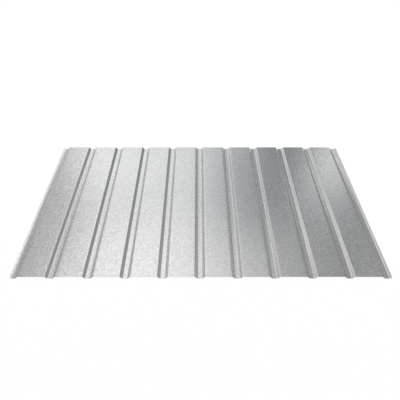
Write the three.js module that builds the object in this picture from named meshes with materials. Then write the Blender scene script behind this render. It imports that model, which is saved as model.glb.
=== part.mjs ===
// A roll-formed steel sheet with ribs of trapezoid section, for walls, fences and roofs.
// It is one flat strip of galvanised steel, bent into wide crowns and narrow pans that sloping
// flanks join, and shorn square at both ends. Millimetres, +Z up: the sheet's width is along X,
// its ribs run along Y, and it lies with the undersides of its pans on Z = 0.

import * as THREE from 'three';

// Driving dimensions. The widths of a section's flats are between the sharp corners of its
// middle line, which the bends then round off.
const SHEET_LENGTH = 700; // along the ribs
const SHEET_THICKNESS = 0.5;
const RIB_COUNT = 10;
const RIB_HEIGHT = 8; // from a pan to a crown, each taken at its underside
const CROWN_WIDTH = 83;
const PAN_WIDTH = 16;
const FLANK_RUN = 8; // how far a flank goes sideways as it climbs one rib height
const CROWN_BEND_RADIUS = 2.5; // inside the bends along a crown
const PAN_BEND_RADIUS = 5; // inside the bends along a pan
const OVERLAP_WIDTH = 12; // flat strip near the -X edge, which covers the next sheet's last pan
const LIFTED_EDGE_WIDTH = 7; // outside that strip, lifted clear so that it slides over the next
const LIFTED_EDGE_RISE = 1.2;
const UNDERLAP_RISE = 5.5; // part of a flank that ends the sheet at +X, under the next one's flank

// Each bend has twice this many facets.
const BEND_DETAIL = 3;

const RIB_PITCH = CROWN_WIDTH + PAN_WIDTH + 2 * FLANK_RUN;
const HALF_THICKNESS = SHEET_THICKNESS / 2;

const ABOVE = 1;
const BELOW = -1;

const galvanisedSteel = new THREE.MeshStandardMaterial({
  name: 'galvanised_steel',
  color: 0xc6cacc,
  roughness: 0.35,
  metalness: 0.9,
});

// Sharp corners of the section's middle line, from the -X edge to the +X edge, each with the
// radius inside the bend that rounds it.
function sectionCorners() {
  const corner = (x, y, radius = 0) => ({ at: new THREE.Vector2(x, y), radius });
  const corners = [
    corner(-LIFTED_EDGE_WIDTH, LIFTED_EDGE_RISE),
    corner(0, 0, PAN_BEND_RADIUS),
  ];
  let foot = OVERLAP_WIDTH; // where the next flank starts to climb
  for (let rib = 0; rib < RIB_COUNT; rib += 1) {
    const crownStart = foot + FLANK_RUN;
    const crownEnd = crownStart + CROWN_WIDTH;
    corners.push(
      corner(foot, 0, PAN_BEND_RADIUS),
      corner(crownStart, RIB_HEIGHT, CROWN_BEND_RADIUS),
      corner(crownEnd, RIB_HEIGHT, CROWN_BEND_RADIUS),
      corner(crownEnd + FLANK_RUN, 0, PAN_BEND_RADIUS),
    );
    foot += RIB_PITCH;
  }
  const underlapRun = (FLANK_RUN * UNDERLAP_RISE) / RIB_HEIGHT;
  corners.push(corner(foot, 0, PAN_BEND_RADIUS), corner(foot + underlapRun, UNDERLAP_RISE));
  return corners;
}

// The bend that rounds one corner: an arc of the middle line, whose turn is 1 to the left and -1
// to the right, going to +X.
function bendAt(before, { at, radius }, after) {
  const into = at.clone().sub(before.at).normalize();
  const outOf = after.at.clone().sub(at).normalize();
  const turn = Math.sign(into.cross(outOf));
  const angle = Math.acos(into.dot(outOf));
  const middleRadius = radius + HALF_THICKNESS;
  const setback = middleRadius * Math.tan(angle / 2);
  const inward = new THREE.Vector2(-into.y, into.x).multiplyScalar(turn);
  const centre = at
    .clone()
    .addScaledVector(into, -setback)
    .addScaledVector(inward, middleRadius);
  const start = Math.atan2(-inward.y, -inward.x);
  const radiusOn = (side) => middleRadius - turn * side * HALF_THICKNESS;
  return { centre, turn, start, end: start + turn * angle, radiusOn };
}

// The two corners of the metal where the section ends at a point of its middle line.
function shornEdge(end, neighbour, outward) {
  const along = end.clone().sub(neighbour).normalize().multiplyScalar(outward);
  const up = new THREE.Vector2(-along.y, along.x);
  return {
    top: end.clone().addScaledVector(up, HALF_THICKNESS),
    under: end.clone().addScaledVector(up, -HALF_THICKNESS),
  };
}

// The section's closed outline: over the top face to +X, and back along the underside.
function sectionOutline() {
  const corners = sectionCorners();
  const bends = corners
    .slice(1, -1)
    .map((corner, index) => bendAt(corners[index], corner, corners[index + 2]));
  const left = shornEdge(corners[0].at, corners[1].at, -1);
  const right = shornEdge(corners.at(-1).at, corners.at(-2).at, 1);

  const outline = new THREE.Shape();
  outline.moveTo(left.under.x, left.under.y);
  outline.lineTo(left.top.x, left.top.y);
  for (const { centre, turn, start, end, radiusOn } of bends) {
    outline.absarc(centre.x, centre.y, radiusOn(ABOVE), start, end, turn < 0);
  }
  outline.lineTo(right.top.x, right.top.y);
  outline.lineTo(right.under.x, right.under.y);
  for (const { centre, turn, start, end, radiusOn } of bends.toReversed()) {
    outline.absarc(centre.x, centre.y, radiusOn(BELOW), end, start, turn > 0);
  }
  outline.closePath();
  return outline;
}

// The section drawn out along the ribs, then laid flat: its width centred on X, its length on Y
// and the undersides of its pans on Z = 0.
function profiledSheet() {
  const geometry = new THREE.ExtrudeGeometry(sectionOutline(), {
    depth: SHEET_LENGTH,
    bevelEnabled: false,
    curveSegments: BEND_DETAIL,
  });
  geometry.rotateX(Math.PI / 2);
  geometry.computeBoundingBox();
  const { min, max } = geometry.boundingBox;
  geometry.translate(-(min.x + max.x) / 2, -(min.y + max.y) / 2, -min.z);
  const sheet = new THREE.Mesh(geometry, galvanisedSteel);
  sheet.name = 'profiled_sheet';
  return sheet;
}

const model = new THREE.Group();
model.add(profiledSheet());

export default model;
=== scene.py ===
"""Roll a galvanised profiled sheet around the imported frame, and light it in a plain studio."""

import math
from dataclasses import dataclass

import bmesh
import bpy
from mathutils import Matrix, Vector


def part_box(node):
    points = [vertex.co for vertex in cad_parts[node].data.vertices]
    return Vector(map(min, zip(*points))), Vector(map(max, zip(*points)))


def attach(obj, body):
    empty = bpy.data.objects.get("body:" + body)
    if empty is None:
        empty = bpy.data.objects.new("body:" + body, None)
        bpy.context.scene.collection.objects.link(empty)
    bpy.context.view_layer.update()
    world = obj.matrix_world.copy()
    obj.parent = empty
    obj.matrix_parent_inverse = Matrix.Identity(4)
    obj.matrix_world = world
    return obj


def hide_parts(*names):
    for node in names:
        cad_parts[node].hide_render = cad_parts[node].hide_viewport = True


bl_info = {
    "name": "Profiled Metal Sheet",
    "version": (1, 0, 0),
    "blender": (4, 5, 0),
    "location": "View3D > Sidebar > Profiled Sheet",
    "description": "Rolls a galvanised sheet of trapezoid section and sets a studio around it",
    "category": "Add Mesh",
}

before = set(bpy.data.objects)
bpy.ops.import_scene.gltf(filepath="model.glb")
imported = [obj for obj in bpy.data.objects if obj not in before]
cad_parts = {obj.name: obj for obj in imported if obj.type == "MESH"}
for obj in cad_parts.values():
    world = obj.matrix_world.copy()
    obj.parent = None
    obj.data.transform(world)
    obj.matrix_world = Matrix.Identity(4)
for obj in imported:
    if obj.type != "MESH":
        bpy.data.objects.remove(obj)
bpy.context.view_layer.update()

SHEET_NODE = "profiled_sheet"
SHEET_LOW, SHEET_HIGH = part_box(SHEET_NODE)

MM = 0.001  # all lengths are in metres
STRIP_THICKNESS = 0.5 * MM


def linear(hex_colour):
    """Turn a colour written as an sRGB hex value into linear red, green and blue."""
    shares = [(hex_colour >> shift & 0xFF) / 255 for shift in (16, 8, 0)]
    return tuple(s / 12.92 if s <= 0.04045 else ((s + 0.055) / 1.055) ** 2.4 for s in shares)


# ---------------------------------------------------------------------------------------------
# Sizes and colours that a user would change
# ---------------------------------------------------------------------------------------------


def length(name, description, default):
    """A length that a user may change."""
    return bpy.props.FloatProperty(
        name=name, description=description, default=default, min=0.0, precision=4, unit="LENGTH"
    )


def colour(name, description, hex_colour):
    """A colour that a user may change."""
    return bpy.props.FloatVectorProperty(
        name=name,
        description=description,
        default=linear(hex_colour),
        min=0.0,
        max=1.0,
        subtype="COLOR",
    )


def share(name, description, default):
    """A number from 0 to 1 that a user may change."""
    return bpy.props.FloatProperty(
        name=name, description=description, default=default, min=0.0, max=1.0, subtype="FACTOR"
    )


def degrees(name, description, default):
    """An angle that a user may change, whose default is given in degrees."""
    return bpy.props.FloatProperty(
        name=name, description=description, default=math.radians(default), subtype="ANGLE"
    )


class SectionSettings(bpy.types.PropertyGroup):
    """The rolled section. Widths of flats are between the sharp corners of its middle line."""

    rib_count: bpy.props.IntProperty(
        name="Ribs", description="Number of crowns across the sheet", default=10, min=1
    )
    rib_height: length(
        "Rib height",
        "From a pan to a crown, each taken at its underside",
        SHEET_HIGH.z - SHEET_LOW.z - STRIP_THICKNESS,
    )
    sheet_length: length("Sheet length", "Along the ribs", SHEET_HIGH.y - SHEET_LOW.y)
    thickness: length("Thickness", "Of the steel strip", STRIP_THICKNESS)
    crown_width: length("Crown width", "Flat top of a rib", 83 * MM)
    pan_width: length("Pan width", "Flat between two ribs", 16 * MM)
    flank_run: length("Flank run", "How far a flank goes sideways as it climbs", 8 * MM)
    crown_bend_radius: length("Crown bend", "Inside radius of the bends along a crown", 2.5 * MM)
    pan_bend_radius: length("Pan bend", "Inside radius of the bends along a pan", 5 * MM)
    overlap_width: length("Overlap strip", "Flat that covers the next sheet's pan", 12 * MM)
    lifted_edge_width: length("Lifted edge", "Outside the overlap strip", 7 * MM)
    lifted_edge_rise: length("Edge rise", "Of the lifted edge's outer side", 1.2 * MM)
    underlap_rise: length("Underlap rise", "Of the part flank that ends the sheet", 5.5 * MM)


class FinishSettings(bpy.types.PropertyGroup):
    """The zinc coating."""

    zinc: colour("Zinc", "Mean colour of the coating", 0xCBCBCB)
    bare_steel: colour("Cut edge", "Steel where the strip was shorn", 0xBBB9B6)
    roughness: share("Roughness", "Mean roughness of the coating", 0.25)
    crystal_size: length("Crystal size", "Mean width of a zinc crystal", 3 * MM)
    crystal_contrast: share("Crystal contrast", "How much crystals differ in colour", 0.3)
    crystal_sheen: share("Crystal sheen", "How much crystals differ in roughness", 0.35)
    crystal_tilt: share("Crystal tilt", "How far crystals lean from the surface", 0.01)
    burnish: share("Burnish", "How far the rolls smoothed crystals away on the flanks", 0.75)


class StudioSettings(bpy.types.PropertyGroup):
    """Floor, light and camera."""

    floor: colour("Floor", "Colour of the floor", 0xFFFFFF)
    glow: share("Floor glow", "White of the floor that no shadow takes away", 0.9)
    matt: share("Floor matt", "Share of the light on the floor that it gives back", 0.16)
    lens: bpy.props.FloatProperty(
        name="Lens", description="Focal length in millimetres", default=37.43, min=1.0
    )
    pitch: degrees("Pitch", "How far the camera looks down", 41.31)
    camera_height: length("Camera height", "Above the floor", 1.0234)
    camera_distance: length("Camera distance", "In front of the sheet's near edge", 0.7992)


# ---------------------------------------------------------------------------------------------
# Small tools
# ---------------------------------------------------------------------------------------------


def add_node(tree, kind, inputs=None, **settings):
    """Add one node. Each input gets a value, or a link from another node's output."""
    node = tree.nodes.new(kind)
    for name, value in settings.items():
        setattr(node, name, value)
    for socket, value in (inputs or {}).items():
        if isinstance(value, bpy.types.NodeSocket):
            tree.links.new(value, node.inputs[socket])
        else:
            node.inputs[socket].default_value = value
    return node


def new_material(name):
    """A material whose node tree is still empty."""
    material = bpy.data.materials.new(name)
    material.use_nodes = True
    material.node_tree.nodes.clear()
    return material


def deselect_everything():
    bpy.ops.object.select_all(action="DESELECT")


def select_edges(mesh_object, wanted):
    """In edit mode, leave selected the edges that wanted(edge) accepts."""
    bpy.ops.mesh.select_mode(type="EDGE")
    bpy.ops.mesh.select_all(action="DESELECT")
    shape = bmesh.from_edit_mesh(mesh_object.data)
    chosen = [edge for edge in shape.edges if wanted(edge)]
    for edge in chosen:
        edge.select_set(True)
    bmesh.update_edit_mesh(mesh_object.data)
    if not chosen:
        raise RuntimeError("no edge to work on")


def apply_modifiers(mesh_object):
    """Apply all modifiers of the active object."""
    for modifier in list(mesh_object.modifiers):
        bpy.ops.object.modifier_apply(modifier=modifier.name)


def runs_along_ribs(edge):
    """Whether an edge goes mostly along Y."""
    one, other = (vertex.co for vertex in edge.verts)
    return abs(one.y - other.y) > abs(one.x - other.x) + abs(one.z - other.z)


# ---------------------------------------------------------------------------------------------
# The sheet
# ---------------------------------------------------------------------------------------------

BEND_STEP = math.radians(7)  # the most that one facet of a bend turns
CROWN_CUTS = 11  # along the ribs, in each crown
MERGE_DISTANCE = 0.001 * MM
SMOOTH_ANGLE = math.radians(30)  # facets of a bend meet at less than this, shorn edges at more
FLAT_SLOPE = math.radians(4)  # up to this slope the zinc's crystals are whole
FLANK_SLOPE = math.radians(30)  # and from this one on they are as burnished as on a flank
SHORN_ROUGHNESS = 0.45


def fold_line(section):
    """Sharp corners of the section's middle line, as (point, radius of the middle line).

    They run from the first foot to the underlap edge, and x and z are in the sheet's frame.
    """
    half = section.thickness / 2
    pan_level = SHEET_LOW.z + half
    crown_level = pan_level + section.rib_height
    crown_radius = section.crown_bend_radius + half
    pan_radius = section.pan_bend_radius + half
    foot = overlap_start(section) + section.overlap_width
    folds = []
    for _ in range(section.rib_count):
        crown_start = foot + section.flank_run
        crown_end = crown_start + section.crown_width
        folds += [
            (Vector((foot, pan_level)), pan_radius),
            (Vector((crown_start, crown_level)), crown_radius),
            (Vector((crown_end, crown_level)), crown_radius),
            (Vector((crown_end + section.flank_run, pan_level)), pan_radius),
        ]
        foot = crown_end + section.flank_run + section.pan_width
    climb = section.underlap_rise / section.rib_height
    lip = Vector((foot + section.flank_run * climb, pan_level + section.underlap_rise))
    return folds + [(Vector((foot, pan_level)), pan_radius), (lip, 0.0)]


def overlap_start(section):
    """X of the corner where the lifted edge meets the overlap strip."""
    tilt = math.atan2(section.lifted_edge_rise, section.lifted_edge_width)
    return SHEET_LOW.x + section.lifted_edge_width + section.thickness / 2 * math.sin(tilt)


def setback(before, corner, after, radius):
    """How far before its sharp corner a bend of this radius starts."""
    turn = (corner - before).angle(after - corner)
    return radius * math.tan(turn / 2)


def draw_out(here, there):
    """Extrude the selected edge from one point of the section to another."""
    step = there - here
    bpy.ops.mesh.extrude_region_move(TRANSFORM_OT_translate={"value": (step.x, 0, step.y)})


def roll_on(here, folds):
    """Carry the selected edge through the folds: a flat by an extrusion, a bend by a spin."""
    for (corner, radius), (after, _) in zip(folds, folds[1:]):
        into = (corner - here).normalized()
        out_of = (after - corner).normalized()
        back = setback(here, corner, after, radius)
        bend_start = corner - into * back
        draw_out(here, bend_start)
        side = 1 if into.cross(out_of) > 0 else -1  # 1 where the strip turns up
        centre = bend_start + Vector((-into.y, into.x)) * side * radius
        turn = into.angle(out_of)
        bpy.ops.mesh.spin(
            steps=math.ceil(turn / BEND_STEP),
            angle=turn,
            center=(centre.x, 0, centre.y),
            axis=(0, side, 0),
        )
        here = corner + out_of * back
    draw_out(here, folds[-1][0])


def roll_strip(section):
    """Bend a flat strip into the section, from the overlap strip outwards, as an open surface."""
    folds = fold_line(section)
    first, first_radius = folds[0]
    corner = Vector((overlap_start(section), first.y))
    edge = corner + Vector((-section.lifted_edge_width, section.lifted_edge_rise))
    flat_start = corner.x + setback(first, corner, edge, first_radius)
    flat_end = first.x - setback(corner, first, folds[1][0], first_radius)
    middle = (flat_start + flat_end) / 2

    bpy.ops.mesh.primitive_plane_add(
        size=1, location=(middle, (SHEET_LOW.y + SHEET_HIGH.y) / 2, first.y)
    )
    strip = bpy.context.object
    strip.scale = (flat_end - flat_start, section.sheet_length, 1)
    bpy.ops.object.transform_apply(location=True, rotation=False, scale=True)

    bpy.ops.object.mode_set(mode="EDIT")
    select_edges(strip, lambda e: runs_along_ribs(e) and e.verts[0].co.x > middle)
    roll_on(Vector((flat_end, first.y)), folds)
    select_edges(strip, lambda e: runs_along_ribs(e) and e.verts[0].co.x < middle)
    roll_on(Vector((flat_start, first.y)), [(corner, first_radius), (edge, 0.0)])
    return strip


def cut_crowns(strip, section):
    """Cut each crown into bands along the ribs, in edit mode.

    Smooth shading then runs from a bend only one band into the crown, as real steel springs back
    a little beside its bends, and the middle of the crown is shaded flat.
    """
    half_crown = section.crown_width / 2
    select_edges(strip, lambda e: not runs_along_ribs(e) and e.calc_length() > half_crown)
    bpy.ops.mesh.subdivide(number_cuts=CROWN_CUTS)


def face_up(strip):
    """Merge doubles and turn every face of the open surface to the sky, in edit mode."""
    bpy.ops.mesh.select_all(action="SELECT")
    bpy.ops.mesh.remove_doubles(threshold=MERGE_DISTANCE)
    bpy.ops.mesh.normals_make_consistent(inside=False)
    shape = bmesh.from_edit_mesh(strip.data)
    if sum(face.normal.z for face in shape.faces) < 0:
        bpy.ops.mesh.flip_normals()


def give_thickness(strip, section):
    """Solidify the strip about its middle surface; its shorn edges get the second material."""
    wall = strip.modifiers.new("wall", "SOLIDIFY")
    wall.thickness = section.thickness
    wall.offset = 0
    wall.use_even_offset = True
    wall.use_quality_normals = True
    wall.material_offset_rim = 1
    apply_modifiers(strip)


# Hot-dip galvanised steel: a thin coat of zinc that froze into fine crystals and was then rolled
# lightly. It is a pale, neutral metal with a soft sheen. It gives back about three fifths of the
# light, so what one flank mirrors of another is darker. Each crystal has its own tone, its own
# smoothness and its own slight lean, so that light plays on them as a fine, even grain, and where
# the rolls bent the strip they rubbed it smoother. Real crystals are a millimetre or two wide, and
# they are drawn at 3 mm, because smaller ones don't show.
def hot_dip_zinc(finish):
    material = new_material("hot_dip_galvanised_steel")
    tree = material.node_tree
    place = add_node(tree, "ShaderNodeTexCoord")
    crystals = add_node(
        tree,
        "ShaderNodeTexVoronoi",
        {
            "Vector": place.outputs["Object"],
            "Scale": 1 / finish.crystal_size,
            "Randomness": 1.0,
        },
    )
    facing = add_node(tree, "ShaderNodeSeparateXYZ", {"Vector": place.outputs["Normal"]})
    level = add_node(tree, "ShaderNodeMath", {0: facing.outputs["Z"]}, operation="ABSOLUTE")
    unworn = add_node(
        tree,
        "ShaderNodeMapRange",
        {
            "Value": level.outputs["Value"],
            "From Min": math.cos(FLANK_SLOPE),
            "From Max": math.cos(FLAT_SLOPE),
            "To Min": 1 - finish.burnish,
        },
    )
    # Three random numbers for each crystal, from -0.5 to 0.5 and nearer 0 where it is burnished.
    # The first is for its tone, the second for its smoothness, and all three for its lean.
    centred = add_node(
        tree,
        "ShaderNodeVectorMath",
        {0: crystals.outputs["Color"], 1: (0.5, 0.5, 0.5)},
        operation="SUBTRACT",
    )
    swing = add_node(
        tree,
        "ShaderNodeVectorMath",
        {0: centred.outputs["Vector"], "Scale": unworn.outputs["Result"]},
        operation="SCALE",
    )
    tilt = add_node(
        tree,
        "ShaderNodeVectorMath",
        {
            0: swing.outputs["Vector"],
            1: (finish.crystal_tilt * 2,) * 3,
            2: add_node(tree, "ShaderNodeNewGeometry").outputs["Normal"],
        },
        operation="MULTIPLY_ADD",
    )
    normal = add_node(
        tree, "ShaderNodeVectorMath", {0: tilt.outputs["Vector"]}, operation="NORMALIZE"
    )
    swings = add_node(tree, "ShaderNodeSeparateXYZ", {"Vector": swing.outputs["Vector"]})
    tone = add_node(
        tree,
        "ShaderNodeMapRange",
        {
            "Value": swings.outputs["X"],
            "From Min": -0.5,
            "From Max": 0.5,
            "To Min": 1 - finish.crystal_contrast / 2,
            "To Max": 1 + finish.crystal_contrast / 2,
        },
    )
    sheen = add_node(
        tree,
        "ShaderNodeMapRange",
        {
            "Value": swings.outputs["Y"],
            "From Min": -0.5,
            "From Max": 0.5,
            "To Min": finish.roughness * (1 - finish.crystal_sheen / 2),
            "To Max": finish.roughness * (1 + finish.crystal_sheen / 2),
        },
    )
    zinc = add_node(
        tree,
        "ShaderNodeVectorMath",
        {0: finish.zinc, 1: tone.outputs["Result"]},
        operation="MULTIPLY",
    )
    steel = add_node(
        tree,
        "ShaderNodeBsdfPrincipled",
        {
            "Base Color": zinc.outputs["Vector"],
            "Metallic": 1.0,
            "Roughness": sheen.outputs["Result"],
            "Normal": normal.outputs["Vector"],
        },
    )
    add_node(tree, "ShaderNodeOutputMaterial", {"Surface": steel.outputs["BSDF"]})
    return material


# Steel where the shears went through it: a little darker and warmer than the zinc, and torn, so
# that it is duller.
def shorn_steel(finish):
    material = new_material("shorn_steel")
    tree = material.node_tree
    steel = add_node(
        tree,
        "ShaderNodeBsdfPrincipled",
        {
            "Base Color": (*finish.bare_steel, 1.0),
            "Metallic": 1.0,
            "Roughness": SHORN_ROUGHNESS,
        },
    )
    add_node(tree, "ShaderNodeOutputMaterial", {"Surface": steel.outputs["BSDF"]})
    return material


class SHEET_OT_roll(bpy.types.Operator):
    """Roll the galvanised sheet that stands for the frame's plain one"""

    bl_idname = "profiled_sheet.roll"
    bl_label = "Roll Sheet"

    def execute(self, context):
        section = context.scene.sheet_section
        finish = context.scene.sheet_finish
        deselect_everything()
        sheet = roll_strip(section)
        cut_crowns(sheet, section)
        face_up(sheet)
        bpy.ops.object.mode_set(mode="OBJECT")
        sheet.name = "rolled_sheet"
        sheet.data.materials.append(hot_dip_zinc(finish))
        sheet.data.materials.append(shorn_steel(finish))
        give_thickness(sheet, section)
        bpy.ops.object.shade_smooth_by_angle(angle=SMOOTH_ANGLE)
        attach(sheet, "root")
        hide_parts(SHEET_NODE)
        return {"FINISHED"}


# ---------------------------------------------------------------------------------------------
# The studio
# ---------------------------------------------------------------------------------------------

SENSOR_WIDTH = 36.0  # of the camera, in millimetres
IMAGE_SIZE = 400
AXIS_PIXEL_X = 198.1  # column of the image that the camera's own axis falls on
AXIS_X = -7.0 * MM  # where that axis is over the sheet

FLOOR_SIZE = 24.0
FLOOR_GAP = 0.2 * MM  # the floor lies this far under the sheet, so that no two faces meet
FLOOR_ROUGHNESS = 0.5
AMBIENT = 0.6  # the white of the world, as matt surfaces see it
LAMP_SIZE = 2.0
LAMP_HEIGHT = 3.6
LAMP_WATTS = 12.0

DOME_RADIUS = 4.0  # the cards are patches of a dome around the sheet
DOME_SEGMENTS = 96
DOME_RINGS = 48
CARD_GAP = 20 * MM  # each card hangs this much nearer than the one before, so it covers that one
CARD_FADE = math.radians(8)  # over which a card's edges fade
CARD_LIGHT = 1.36  # strength of a card whose brightness is 1, where the world's white is 1

COOL = 0xE1F4FF
FAINTLY_COOL = 0xF5FBFF
WARM = 0xFFFBF6
WHITE = 0xFFFFFF


@dataclass(frozen=True)
class Card:
    """A patch of the dome that the metal mirrors.

    Its azimuths run clockwise from +Y and its elevations up from the floor, in degrees, each to
    where the card has faded out. Its brightness is given at each azimuth, and its lift is how
    much brighter it is at the top than at the bottom. Its two tints are also those at each
    azimuth.
    """

    name: str
    azimuths: tuple
    elevations: tuple
    brightness: tuple
    lift: float = 0.0
    tints: tuple = (WHITE, WHITE)


# White all round under a dimmer ceiling, then greys to the left and the right, then lighter and
# darker patches before them. Each card hangs before the ones above it here.
CARDS = (
    Card("ahead", (-98, 98), (-8, 98), (1.0, 1.0)),
    Card("zenith", (-98, 98), (62, 98), (0.6, 0.6)),
    Card("left_end", (-98, -62), (-8, 74), (0.6, 0.45)),
    Card("right_end", (62, 98), (-8, 74), (0.45, 0.6)),
    Card("left_grey", (-74, -25), (-8, 85), (0.4, 0.25), -0.25),
    Card("left_top", (-58, -22), (42, 90), (0.0, 1.25), -0.9),
    Card("left_low_white", (-54, -14), (10, 33), (1.2, 0.0)),
    Card("right_grey", (-1, 74), (-8, 92), (0.15, 0.45), 0.1, (COOL, WARM)),
    Card("right_top", (-21, 46), (43, 78), (1.25, 0.25), 0.25),
    Card("right_white_strip", (22, 36), (20, 40), (1.2, 1.2)),
    Card("low_middle", (-29, 17), (-8, 38), (0.8, 0.15), 1.15, (WHITE, FAINTLY_COOL)),
    Card("middle_band", (-43, 16), (35, 47), (0.6, 0.55), 0.0, (WHITE, FAINTLY_COOL)),
)


def seen_directly(tree):
    """1 for rays from the camera and for those that metal or glass sends on, 0 for the rest."""
    path = add_node(tree, "ShaderNodeLightPath")
    direct = path.outputs["Is Camera Ray"]
    for kind in ("Is Glossy Ray", "Is Transmission Ray"):
        direct = add_node(
            tree, "ShaderNodeMath", {0: direct, 1: path.outputs[kind]}, operation="MAXIMUM"
        ).outputs["Value"]
    return direct


def white_world():
    """A white surround where it is seen, and a plain soft light on what is matt."""
    world = bpy.data.worlds.new("white_world")
    world.use_nodes = True
    world.node_tree.nodes.clear()
    tree = world.node_tree
    strength = add_node(
        tree,
        "ShaderNodeMapRange",
        {"Value": seen_directly(tree), "To Min": AMBIENT, "To Max": 1.0},
    )
    white = add_node(
        tree,
        "ShaderNodeBackground",
        {"Color": (1, 1, 1, 1), "Strength": strength.outputs["Result"]},
    )
    add_node(tree, "ShaderNodeOutputWorld", {"Surface": white.outputs["Background"]})
    bpy.context.scene.world = world


# Matt white paper: most of its white is its own where it is seen, so that it has no edge against
# the world, and the rest is the light that falls on it, which the sheet's shadow takes away.
def floor_paper(studio):
    material = new_material("matt_white_paper")
    tree = material.node_tree
    paper = add_node(
        tree,
        "ShaderNodeBsdfDiffuse",
        {
            "Color": (*(part * studio.matt for part in studio.floor), 1.0),
            "Roughness": FLOOR_ROUGHNESS,
        },
    )
    glow = add_node(
        tree,
        "ShaderNodeMapRange",
        {"Value": seen_directly(tree), "To Min": 0.0, "To Max": studio.glow},
    )
    white = add_node(
        tree,
        "ShaderNodeEmission",
        {"Color": (*studio.floor, 1.0), "Strength": glow.outputs["Result"]},
    )
    both = add_node(
        tree, "ShaderNodeAddShader", {0: paper.outputs["BSDF"], 1: white.outputs["Emission"]}
    )
    add_node(tree, "ShaderNodeOutputMaterial", {"Surface": both.outputs["Shader"]})
    return material


def angles_from_middle(tree):
    """Azimuth and elevation of the shaded point, as the middle of the dome sees it.

    The near half of the dome is the mirror image of the far half, so Y counts without its sign.
    """
    towards = add_node(
        tree,
        "ShaderNodeVectorMath",
        {0: add_node(tree, "ShaderNodeTexCoord").outputs["Object"]},
        operation="NORMALIZE",
    )
    sides = add_node(tree, "ShaderNodeSeparateXYZ", {"Vector": towards.outputs["Vector"]})
    depth = add_node(tree, "ShaderNodeMath", {0: sides.outputs["Y"]}, operation="ABSOLUTE")
    azimuth = add_node(
        tree,
        "ShaderNodeMath",
        {0: sides.outputs["X"], 1: depth.outputs["Value"]},
        operation="ARCTAN2",
    )
    elevation = add_node(tree, "ShaderNodeMath", {0: sides.outputs["Z"]}, operation="ARCSINE")
    return azimuth.outputs["Value"], elevation.outputs["Value"]


def grade_between(tree, angle, ends, values):
    """The value at an angle, graded from one end's to the other's, and how far inside the nearer
    end that angle is. The ends are in degrees."""
    start, end = (math.radians(limit) for limit in ends)
    grade = add_node(
        tree,
        "ShaderNodeMapRange",
        {
            "Value": angle,
            "From Min": start,
            "From Max": end,
            "To Min": values[0],
            "To Max": values[1],
        },
    )
    off_middle = add_node(
        tree, "ShaderNodeMath", {0: angle, 1: (start + end) / 2}, operation="SUBTRACT"
    )
    distance = add_node(
        tree, "ShaderNodeMath", {0: off_middle.outputs["Value"]}, operation="ABSOLUTE"
    )
    inset = add_node(
        tree,
        "ShaderNodeMath",
        {0: (end - start) / 2, 1: distance.outputs["Value"]},
        operation="SUBTRACT",
    )
    return grade.outputs["Result"], inset.outputs["Value"]


def tint_across(tree, azimuth, card):
    """Colour of the card's light, from the tint at one azimuth to the tint at the other."""
    across = add_node(
        tree,
        "ShaderNodeMapRange",
        {
            "Value": azimuth,
            "From Min": math.radians(card.azimuths[0]),
            "From Max": math.radians(card.azimuths[1]),
        },
    )
    first, last = (Vector(linear(tint)) for tint in card.tints)
    tint = add_node(
        tree,
        "ShaderNodeVectorMath",
        {0: across.outputs["Result"], 1: last - first, 2: first},
        operation="MULTIPLY_ADD",
    )
    return tint.outputs["Vector"]


# A glowing card whose painted light stands for thin white paper, lit unevenly: its brightness goes
# from one azimuth to the other and up its height, and its edges fade out, so that nothing sharp
# shows in the metal.
def painted_light_card(card):
    material = new_material(card.name + "_paper")
    tree = material.node_tree
    azimuth, elevation = angles_from_middle(tree)
    across = [value * CARD_LIGHT for value in card.brightness]
    upwards = [value * CARD_LIGHT for value in (-card.lift / 2, card.lift / 2)]
    share_across, side_inset = grade_between(tree, azimuth, card.azimuths, across)
    share_upwards, end_inset = grade_between(tree, elevation, card.elevations, upwards)

    brightness = add_node(
        tree, "ShaderNodeMath", {0: share_across, 1: share_upwards}, operation="ADD"
    )
    lit = add_node(
        tree, "ShaderNodeMath", {0: brightness.outputs["Value"], 1: 0.0}, operation="MAXIMUM"
    )
    inset = add_node(tree, "ShaderNodeMath", {0: side_inset, 1: end_inset}, operation="MINIMUM")
    cover = add_node(
        tree, "ShaderNodeMapRange", {"Value": inset.outputs["Value"], "From Max": CARD_FADE}
    )
    # The card's glow is painted light: the card shines by itself, and no lamp lights it.
    paper = add_node(
        tree,
        "ShaderNodeEmission",
        {"Color": tint_across(tree, azimuth, card), "Strength": lit.outputs["Value"]},
    )
    faded = add_node(
        tree,
        "ShaderNodeMixShader",
        {
            0: cover.outputs["Result"],
            1: add_node(tree, "ShaderNodeBsdfTransparent").outputs["BSDF"],
            2: paper.outputs["Emission"],
        },
    )
    add_node(tree, "ShaderNodeOutputMaterial", {"Surface": faded.outputs["Shader"]})
    return material


def lay_floor(studio):
    """Lay the floor just under the sheet."""
    deselect_everything()
    bpy.ops.mesh.primitive_plane_add(size=FLOOR_SIZE, location=(0, 0, SHEET_LOW.z - FLOOR_GAP))
    floor = bpy.context.object
    floor.name = "floor"
    floor.data.materials.append(floor_paper(studio))


def compass(azimuth):
    """Direction on the floor at an angle clockwise from +Y."""
    return Vector((math.sin(azimuth), math.cos(azimuth), 0))


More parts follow.
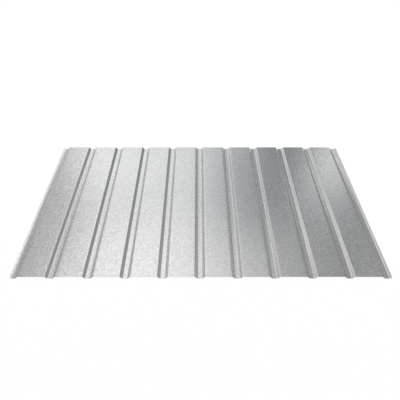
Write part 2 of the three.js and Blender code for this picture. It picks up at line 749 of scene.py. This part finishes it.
def hang_card(card, radius):
    """Hang a card on the far side of the sheet and its mirror image on the near side.

    The metal mirrors them, but the camera doesn't see them, and they neither light what is matt
    nor cast a shadow. A card that goes past the sides or the top of the dome is cut off there,
    where it hasn't faded yet, and its twin takes over.
    """
    deselect_everything()
    bpy.ops.mesh.primitive_uv_sphere_add(
        segments=DOME_SEGMENTS, ring_count=DOME_RINGS, radius=radius
    )
    patch = bpy.context.object
    patch.name = card.name
    bpy.ops.object.mode_set(mode="EDIT")
    start, end = (math.radians(max(-90, min(90, angle))) for angle in card.azimuths)
    bottom, top = (radius * math.sin(math.radians(min(90, angle))) for angle in card.elevations)
    cuts = (
        (Vector(), compass(start - math.pi / 2)),
        (Vector(), compass(end + math.pi / 2)),
        (Vector((0, 0, bottom)), Vector((0, 0, -1))),
        (Vector((0, 0, top)), Vector((0, 0, 1))),
    )
    for place, away in cuts:
        bpy.ops.mesh.select_all(action="SELECT")
        bpy.ops.mesh.bisect(plane_co=place, plane_no=away, clear_outer=True)
    bpy.ops.object.mode_set(mode="OBJECT")
    twin = patch.modifiers.new("twin", "MIRROR")
    twin.use_axis = (False, True, False)
    apply_modifiers(patch)
    patch.data.materials.append(painted_light_card(card))
    patch.visible_camera = False
    patch.visible_shadow = False
    patch.visible_diffuse = False


def hang_lamp():
    """Hang a soft box over the sheet, for its shadow on the floor. The metal doesn't mirror it."""
    bpy.ops.object.light_add(type="AREA", location=(0, 0, LAMP_HEIGHT))
    lamp = bpy.context.object
    lamp.name = "soft_box"
    lamp.data.shape = "SQUARE"
    lamp.data.size = LAMP_SIZE
    lamp.data.energy = LAMP_WATTS
    lamp.visible_glossy = False


def place_camera(studio):
    """Place the camera before the sheet's near edge, looking along the ribs and down."""
    where = (AXIS_X, SHEET_LOW.y - studio.camera_distance, studio.camera_height)
    bpy.ops.object.camera_add(location=where, rotation=(math.pi / 2 - studio.pitch, 0, 0))
    camera = bpy.context.object
    camera.name = "camera"
    camera.data.sensor_width = SENSOR_WIDTH
    camera.data.lens = studio.lens
    camera.data.shift_x = (IMAGE_SIZE / 2 - AXIS_PIXEL_X) / IMAGE_SIZE
    bpy.context.scene.camera = camera


class SHEET_OT_studio(bpy.types.Operator):
    """Set the floor, the white world, the cards, the lamp and the camera"""

    bl_idname = "profiled_sheet.studio"
    bl_label = "Set Studio"

    def execute(self, context):
        studio = context.scene.sheet_studio
        place_camera(studio)
        white_world()
        lay_floor(studio)
        for layer, card in enumerate(CARDS):
            hang_card(card, DOME_RADIUS - layer * CARD_GAP)
        hang_lamp()
        context.scene.view_settings.view_transform = "Standard"
        return {"FINISHED"}


# ---------------------------------------------------------------------------------------------
# Add-on
# ---------------------------------------------------------------------------------------------


class SHEET_PT_sidebar(bpy.types.Panel):
    """Lists what makes the sheet and its studio, with their settings"""

    bl_label = "Profiled Sheet"
    bl_space_type = "VIEW_3D"
    bl_region_type = "UI"
    bl_category = "Profiled Sheet"

    def draw(self, context):
        scene = context.scene
        stages = (
            (SHEET_OT_studio, (scene.sheet_studio,)),
            (SHEET_OT_roll, (scene.sheet_section, scene.sheet_finish)),
        )
        for operator, groups in stages:
            box = self.layout.box()
            box.operator(operator.bl_idname)
            for settings in groups:
                for name in settings.__annotations__:
                    box.prop(settings, name)


CLASSES = (
    SectionSettings,
    FinishSettings,
    StudioSettings,
    SHEET_OT_roll,
    SHEET_OT_studio,
    SHEET_PT_sidebar,
)


def register():
    for cls in CLASSES:
        bpy.utils.register_class(cls)
    bpy.types.Scene.sheet_section = bpy.props.PointerProperty(type=SectionSettings)
    bpy.types.Scene.sheet_finish = bpy.props.PointerProperty(type=FinishSettings)
    bpy.types.Scene.sheet_studio = bpy.props.PointerProperty(type=StudioSettings)


def unregister():
    del bpy.types.Scene.sheet_studio
    del bpy.types.Scene.sheet_finish
    del bpy.types.Scene.sheet_section
    for cls in reversed(CLASSES):
        bpy.utils.unregister_class(cls)


def main():
    register()
    bpy.ops.profiled_sheet.studio()
    bpy.ops.profiled_sheet.roll()


if __name__ == "__main__":
    main()
